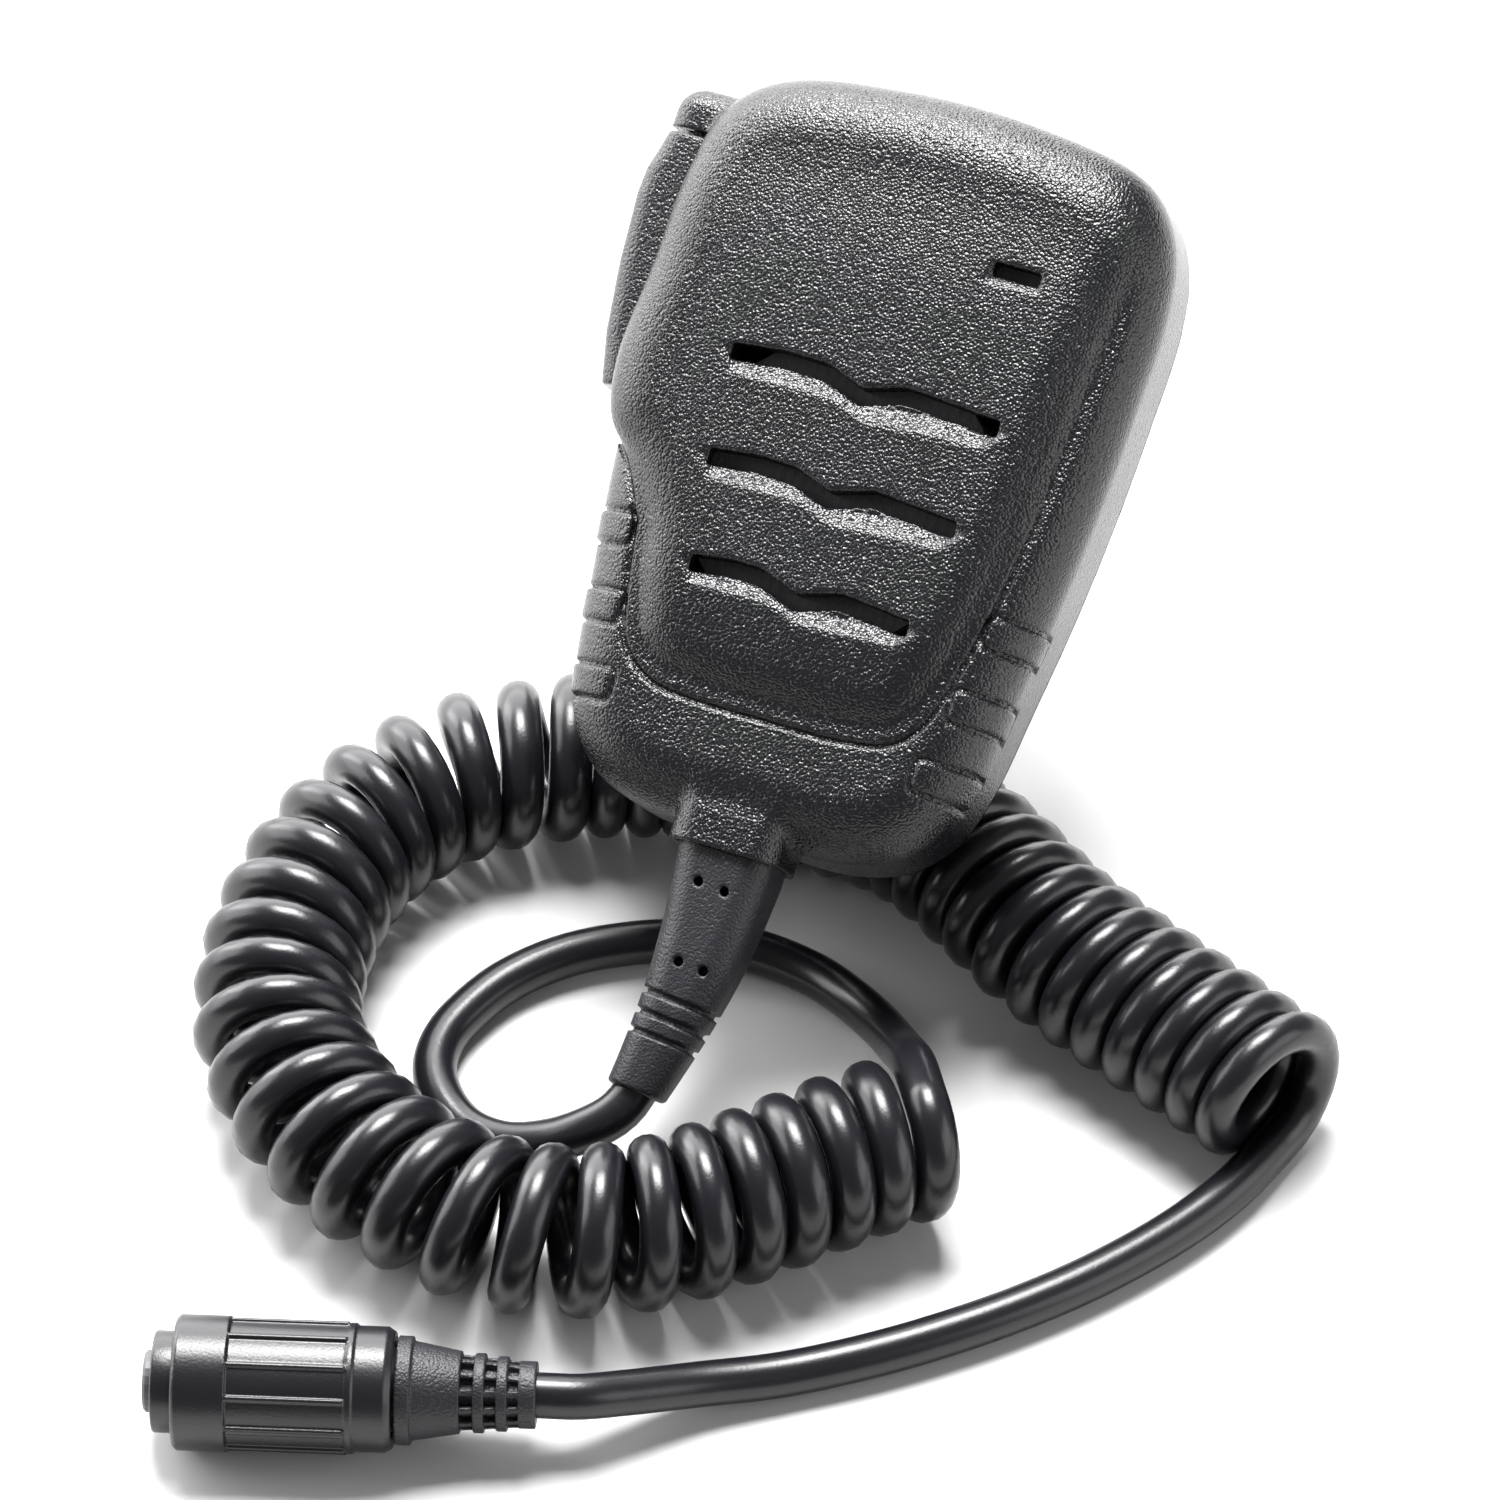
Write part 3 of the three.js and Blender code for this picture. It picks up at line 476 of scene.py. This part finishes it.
# ---- Case --------------------------------------------------------------------------------------
FRONT_Z, LOWER_FRONT_Z, PARTING_Z, PARTING_GAP = 27.5, 25.2, 10, 0.3
FINE = 0.37
HALF_CASE = [(11.5, 0.1), (17.6, 2.2), (21.7, 6.6), (23.8, 13), (25.2, 23), (26.6, 34), (27.6, 46),
             (28.1, 58), (28.2, 67.6), (26.8, 75.0), (23.0, 80.0), (16.8, 82.7), (8.6, 83.9)]
CASE_OUTLINE = Outline([(0, 0), *HALF_CASE, (0, 84.4), *[(-x, y) for x, y in reversed(HALF_CASE)]])
PANEL_OUTLINE = Outline([(0, 12.4), (9, 12.6), (14.2, 13.7), (17.0, 16.4), (19.6, 25), (21.6, 36), (23, 52),
                         (23.9, 66), (23.7, 74.5), (20, 79.8), (11, 82), (0, 82.6), (-11, 82), (-19.8, 80.6),
                         (-25.6, 76.6), (-28, 70), (-28.6, 58), (-29.3, 47), (-27.9, 40.2), (-24.0, 35.6),
                         (-21, 30), (-19.4, 22.6), (-17.6, 16.4), (-13.6, 13.2), (-9, 12.5)])
HINGE = (-28.6, 75.6)
POCKET_X, POCKET_Y, POCKET_HALF = -25.6, 58.9, 15.3
POCKET_FLOOR, POCKET_TOP = 7.4, 20.2
SCREWS = [(-18.6, 74.9), (19.2, 74.5), (-15.4, 8.6), (15.4, 8.6)]
SCREW_WELL = {"radius": 2.8, "floor": 2.7}
CREASE_DEPTH, VALLEY_DEPTH = 0.5, 0.4
SLOTS = [(51.6, 15.7), (39.7, 14.5), (27.9, 12.8)]
GRIP_PADS = [(24.2, 28.5), (22.8, 19.8), (21.2, 11.4)]
PAD_GROOVE, PAD_RISE = 0.35, 0.22
MIC_HOLE = (12.4, 66.8)
SPEAKER = (0, 39)
PIN_HOLE_R = 0.9
KEY_HEIGHTS = (44, 50, 58, 66, 69, 71, 73.6)
KEY_REACH = (31.5, 32.9, 33.9, 34.4, 34.2, 33.6, 33.0)
KEY_MIDDLE, KEY_HALF = 58.85, 14.7
KEY_BACK, KEY_FRONT, KEY_INNER = 9.4, 19.5, 27.9


def slot_outlines(y, half):
    """The through slot and the wider recess round it: shallow wings with a dip in the middle."""
    upper = [(-half, y - 0.4), (-10 * half / 15.7, y + 0.2), (-4.6, y + 0.1), (-0.2, y - 1.5), (4.6, y - 0.1),
             (half, y - 0.9)]
    slot = [(x, v - 1.8) for x, v in upper] + upper[::-1]
    lip = [(-half - 2.6, y + 0.1), (-half + 0.4, y - 4.0), (-7, y - 3.6), (-2.8, y - 3.6), (0.8, y - 5.0),
           (9, y - 4.6), (half - 0.8, y - 4.7), (half + 2.5, y - 1.4)]
    return Outline(slot, smooth=False), Outline(lip + upper[::-1], smooth=False)


SLOT_SHAPES = [slot_outlines(y, half) for y, half in SLOTS]


def collar(x, y, z):
    """The square collar that the cable boot comes out of."""
    round_square = block((x - BOOT_TOP.x + 0.2, z - BOOT_TOP.z), (6.45, 6.5), 3.2)
    return np.maximum(round_square, BOOT_TOP.y - y)


def shoulder(x, y, z, high):
    """The block above the talk key, hollowed for the key's lug and its pin."""
    ear = block((x + 26.4, y - 76.55, z - 12.2), (6.7, 2.8, high), 0.25)
    corner = np.hypot(np.minimum(x + 29.2, 0), np.maximum(y - 75.5, 0)) - 3.8
    top = np.hypot(np.hypot(np.minimum(x + 30.2, 0), np.maximum(y - 76.4, 0)), np.maximum(z - 16.2, 0)) - 2.95
    ear = np.maximum(ear, np.maximum(corner, top))
    room = block((x - HINGE[0], y - 73.9, z - 14.3), (2.4, 4.0, 3.2), 0.3)
    pin = np.maximum(np.hypot(x - HINGE[0], y - HINGE[1]) - PIN_HOLE_R, np.abs(z - 12.95) - 5.75)
    return cut(cut(ear, room), pin)


def key_pocket(x, y):
    """The plan of the pocket that the talk key sits in, open to the left."""
    return np.maximum(x - POCKET_X, np.abs(y - POCKET_Y) - POCKET_HALF)


def front_case(x, y, z):
    side = CASE_OUTLINE(x, y)
    shell = rounded_edge(side, z - LOWER_FRONT_Z, 7.0, 6.6)
    crown = FRONT_Z - 0.0009 * x * x - 1.3 * ease(27 - y, 0, 17) - 0.9 * ease(y, 60, 84)
    panel = rounded_edge(PANEL_OUTLINE(x, y), z - crown, 6.4, 5.0)
    soft = 0.4 + 3.5 * ease(y, 64, 82) + 0.8 * ease(x, 14, 22)
    shell = join(shell, panel, soft)
    crease = np.abs(PANEL_OUTLINE(x, y) - 0.1)
    fade = (1 - ease(y, 40, 44)) * (1 - ease(x, 2, 6)) + (1 - ease(y, 26, 60)) * ease(x, 2, 6)
    shell = shell + CREASE_DEPTH * (1 - ease(crease, 0.1, 0.42)) * fade
    valley = ease(x, 2, 6) * ease(y, 26, 50) * (1 - ease(y, 62, 76))
    shell = shell + VALLEY_DEPTH * (1 - ease(crease, 0, 1.7)) * valley
    shell = join(shell, shoulder(x, y, z, 7.2), 1.2)
    sloped_collar = np.maximum(collar(x, y, z), z - 24.8 + 0.12 * np.maximum(y - 1.2, 0))
    shell = join(shell, np.maximum(sloped_collar, y - 9), 1)
    for px, py in GRIP_PADS:
        pad = np.maximum(block((np.abs(x) - px - 3, y - py), (6.6, 1.9), 0.9), 17.3 - z)
        shell = shell + PAD_GROOVE * (1 - ease(np.abs(pad), 0.1, 0.38)) - PAD_RISE * ease(-pad, 0.2, 0.6)
    for slot, recess in SLOT_SHAPES:
        chamfer = (FRONT_Z - z + recess(x, y) * 0.52) / 1.13
        shell = cut(shell, np.maximum(chamfer, 25.6 - z))
        shell = cut(shell, np.maximum(slot(x, y), 20 - z))
    mic = block((x - MIC_HOLE[0], y - MIC_HOLE[1]), (2.7, 0.75), 0.3)
    mic_lip = block((x - MIC_HOLE[0], y - MIC_HOLE[1] + 0.5), (3.4, 1.35), 0.4)
    shell = cut(shell, np.maximum((FRONT_Z - 0.15 - z + mic_lip * 0.7) / 1.22, 26 - z))
    shell = cut(shell, np.maximum(mic, 22 - z))
    speaker_room = np.maximum(np.hypot(x - SPEAKER[0], y - SPEAKER[1]) - 17.6, np.abs(z - 22.7) - 2.1)
    mic_room = np.maximum(np.hypot(x - MIC_HOLE[0], y - MIC_HOLE[1]) - 4.6, np.abs(z - 22.3) - 2.5)
    shell = cut(cut(shell, speaker_room), mic_room)
    shell = cut(shell, np.maximum(key_pocket(x, y), z - POCKET_TOP))
    bore = block((x - BOOT_TOP.x, z - BOOT_TOP.z), (5.8, 5.75), 2.6)
    return cut(shell, np.maximum(bore, y - 1), 0.25)


def rear_case(x, y, z):
    shell = rounded_edge(CASE_OUTLINE(x, y) + 0.3 * (PARTING_Z - z), -z, 4.4, 5.0)
    shell = join(shell, np.maximum(np.hypot(x, y - 56) - 9, -1.4 - z), 0.6)
    shell = join(shell, shoulder(x, y, z, 5.8), 1.2)
    for sx, sy in SCREWS:
        well = np.hypot(x - sx, y - sy) - SCREW_WELL["radius"]
        shell = cut(shell, np.maximum(well, z - SCREW_WELL["floor"]))
    shell = cut(shell, np.maximum(key_pocket(x, y), POCKET_FLOOR - z))
    bore = block((x - BOOT_TOP.x, z - BOOT_TOP.z), (7.3, 9.0), 3)
    return cut(shell, np.maximum(bore, y - 1), 0.2)


def talk_key(x, y, z):
    """A wedge that stands proud of the case, deepest at the top, with a bevelled outer edge."""
    side = -x - np.interp(y, KEY_HEIGHTS, KEY_REACH)
    ends = np.abs(y - KEY_MIDDLE) - KEY_HALF
    face = rounded_edge(side, z - KEY_FRONT, 2.6, 2.4)
    face = np.maximum(face, rounded_edge(side, KEY_BACK - z, 1.2, 1.2))
    key = rounded_edge(np.maximum(face, x + KEY_INNER), ends, 0.25, 0.25)
    lug = block((x - HINGE[0], y - 73.9, z - 14.3), (1.9, 3.5, 2.9), 0.3)
    return cut(join(key, lug, 0.1), np.hypot(x - HINGE[0], y - HINGE[1]) - PIN_HOLE_R)


def make_case():
    front_low, rear_high = PARTING_Z + PARTING_GAP / 2, PARTING_Z - PARTING_GAP / 2
    make_piece("case_front", skin(front_case, (-34, -3.4, front_low), (30, 86, 29), FINE), CASE, "case",
               "front_case", "front_case")
    make_piece("case_rear", skin(rear_case, (-34, -3.4, -2.4), (30, 86, rear_high), FINE * 1.4), CASE,
               "case", "rear_case", "rear_case")
    make_piece("talk_key", skin(talk_key, (-36, 43, 8.4), (-26, 78.4, 21), FINE), CASE, "talk_key",
               "talk_key", "ptt_key")


# ---- Cable boots -------------------------------------------------------------------------------
BOOT_GROOVES = [(16.5, 17.3), (18.8, 19.6), (21.0, 21.7)]
BOOT_HOLES = [(-1.65, 3.9), (1.5, 3.9), (-1.0, 12.8), (1.95, 12.8)]
BOOT_HOLE_R = 0.55
BOOT_BOW = 1.0


def boot_field(x, y, z):
    """A tapered square boot, slightly bowed, with grooves near its end and four small holes."""
    x = x - BOOT_BOW * np.sin(np.clip(z, 0, 28) * math.pi / 28)
    wide = np.interp(z, (0.9, 12, 17, 28), (5.6, 4.8, 4.3, 3.3))
    for low, high in BOOT_GROOVES:
        wide = wide - 0.5 * ease(z, low, low + 0.15) * (1 - ease(z, high - 0.15, high))
    body = block((x, y), (wide, wide - 0.1), wide * np.interp(z, (0.9, 10, 24), (0.56, 0.72, 0.86)))
    body = rounded_edge(body, np.maximum(z - 27.7, -1.6 - z), 0.5, 0.5)
    for hx, hz in BOOT_HOLES:
        body = cut(body, np.maximum(np.hypot(x - hx, z - hz) - BOOT_HOLE_R, 2.6 - y))
    return body


def make_boot():
    shape = skin(boot_field, (-7, -7, -1.9), (7, 7, 28.6), FINE * 0.8)
    make_piece("boot_skin", shape, BOOT, "case", "boot", "cable_boot")


PLUG_BOOT_RINGS = [(35.7, 0.6, 4.25), (38.15, 0.6, 4.0), (40.8, 0.95, 3.6)]
PLUG_BOOT_BARS = 12
COUPLING_RIBS = 12
SLEEVE_PROFILE = [(3.65, 1), (5.3, 1), (5.45, 1.2), (5.45, 7.6), (4.7, 7.6), (4.7, 8.9), (5.45, 8.9),
                  (5.45, 26.2), (4.4, 26.2), (4.4, 31), (3.8, 31), (3.8, 12), (3.65, 12)]


def plug_boot_field(x, y, z):
    """A cone, then three rings on a sleeve round the cord, with twelve bars between them."""
    r = np.hypot(x, y)
    wide = np.interp(z, (26.9, 28.5, 28.6, 33.7), (5.8, 5.8, 5.3, 4.4))
    body = np.maximum(r - wide, np.abs(z - 30.3) - 3.4)
    body = np.minimum(body, np.maximum(r - np.interp(z, (33, 41), (3.05, 2.8)), np.abs(z - 37) - 4))
    for middle, half, wide in PLUG_BOOT_RINGS:
        body = np.minimum(body, block((r, z - middle), (wide, half), 0.2))
    spacing = 360 / PLUG_BOOT_BARS
    turn = (np.degrees(np.arctan2(y, x)) - 9 + spacing / 2) % spacing - spacing / 2
    bar = np.maximum(np.abs(r * np.sin(np.radians(turn))) - 0.36, r - np.interp(z, (33, 41), (4.1, 3.4)))
    return np.minimum(body, np.maximum(bar, np.abs(z - 37) - 4))


def coupling_ring_field(x, y, z):
    """The knurled ring: a plain band in front, twelve thin ribs and a stepped band behind."""
    r = np.hypot(x, y)
    angle = np.arctan2(y, x) + math.radians(9)
    turn = (angle * COUPLING_RIBS / (2 * math.pi) + 0.5) % 1 - 0.5
    away = turn * 2 * math.pi / COUPLING_RIBS * 7
    wide = np.interp(z, (3.3, 3.7, 9.0, 9.2, 21.6, 21.8, 22.4, 22.6, 25.8, 26.6),
                     (6.9, 7.25, 7.25, 6.8, 6.8, 6.95, 6.95, 6.7, 6.7, 6.2))
    ring = np.maximum(r - wide, np.abs(z - 14.95) - 11.65)
    rib = rounded_edge(np.abs(away) - 0.27, r - 7.2, 0.15, 0.15)
    ring = join(ring, np.maximum(rib, np.abs(z - 15.3) - 6.4), 0.2)
    return np.maximum(ring, 5.75 - r)


def make_plug():
    """The plug's boot, ring and sleeve, which ride with the cord."""
    fine = 0.2
    return [
        make_piece("plug_boot_skin", skin(plug_boot_field, (-6.4, -6.4, 26.6), (6.4, 6.4, 42), fine), PLUG,
                   "case", "boot", "plug_boot"),
        make_piece("coupling_skin", skin(coupling_ring_field, (-7.8, -7.8, 3), (7.8, 7.8, 27), fine), PLUG,
                   "coupling_ring", "plug", "coupling_ring"),
        make_piece("plug_sleeve", turned(SLEEVE_PROFILE), PLUG, "case", "plug", "plug_shell"),
    ]


# ---- Stage -------------------------------------------------------------------------------------
def area_light(name, target, direction, distance, size, power):
    light = bpy.data.lights.new(name, "AREA")
    light.shape = "RECTANGLE"
    light.size, light.size_y = size
    light.energy = power
    holder = bpy.data.objects.new(name, light)
    toward = Vector(direction).normalized()
    holder.location = Vector(target) + toward * distance
    holder.rotation_euler = toward.to_track_quat("Z", "Y").to_euler()
    bpy.context.scene.collection.objects.link(holder)


def make_stage():
    low = (TABLE @ Vector((0, 0, 0))).z
    mesh = bpy.data.meshes.new("floor")
    size = 6
    mesh.from_pydata([(-size, -size, low), (size, -size, low), (size, size, low), (-size, size, low)], [],
                     [(0, 1, 2, 3)])
    nodes = Nodes("floor_paint")
    nodes.shader.inputs["Base Color"].default_value = (0.58, 0.58, 0.58, 1)
    nodes.shader.inputs["Roughness"].default_value = 0.9
    mesh.materials.append(nodes.material)
    floor = bpy.data.objects.new("floor", mesh)
    bpy.context.scene.collection.objects.link(floor)
    world = bpy.data.worlds.new("studio")
    bpy.context.scene.world = world
    world.use_nodes = True
    world.node_tree.nodes["Background"].inputs["Color"].default_value = (1, 1, 1, 1)
    world.node_tree.nodes["Background"].inputs["Strength"].default_value = 0.22
    middle = TABLE @ Vector((10, -20, 30))
    area_light("overhead", middle, (-0.16, 0.33, 0.93), 0.8, (0.44, 0.38), 22)
    area_light("back", middle, (-0.62, 0.72, 0.42), 0.9, (1.3, 0.7), 19)
    area_light("right", middle, (0.95, 0.0, 0.35), 0.8, (0.7, 0.5), 3)
    area_light("left", middle, (-0.95, 0.0, 0.35), 0.8, (0.8, 0.6), 8)
    bpy.context.scene.view_settings.view_transform = "Standard"


# ---- Assembly ----------------------------------------------------------------------------------
dress_cad_nodes()
cord, cord_length, cord_exit = make_cord()
make_case()
make_boot()
on_plug = make_plug()
make_stage()
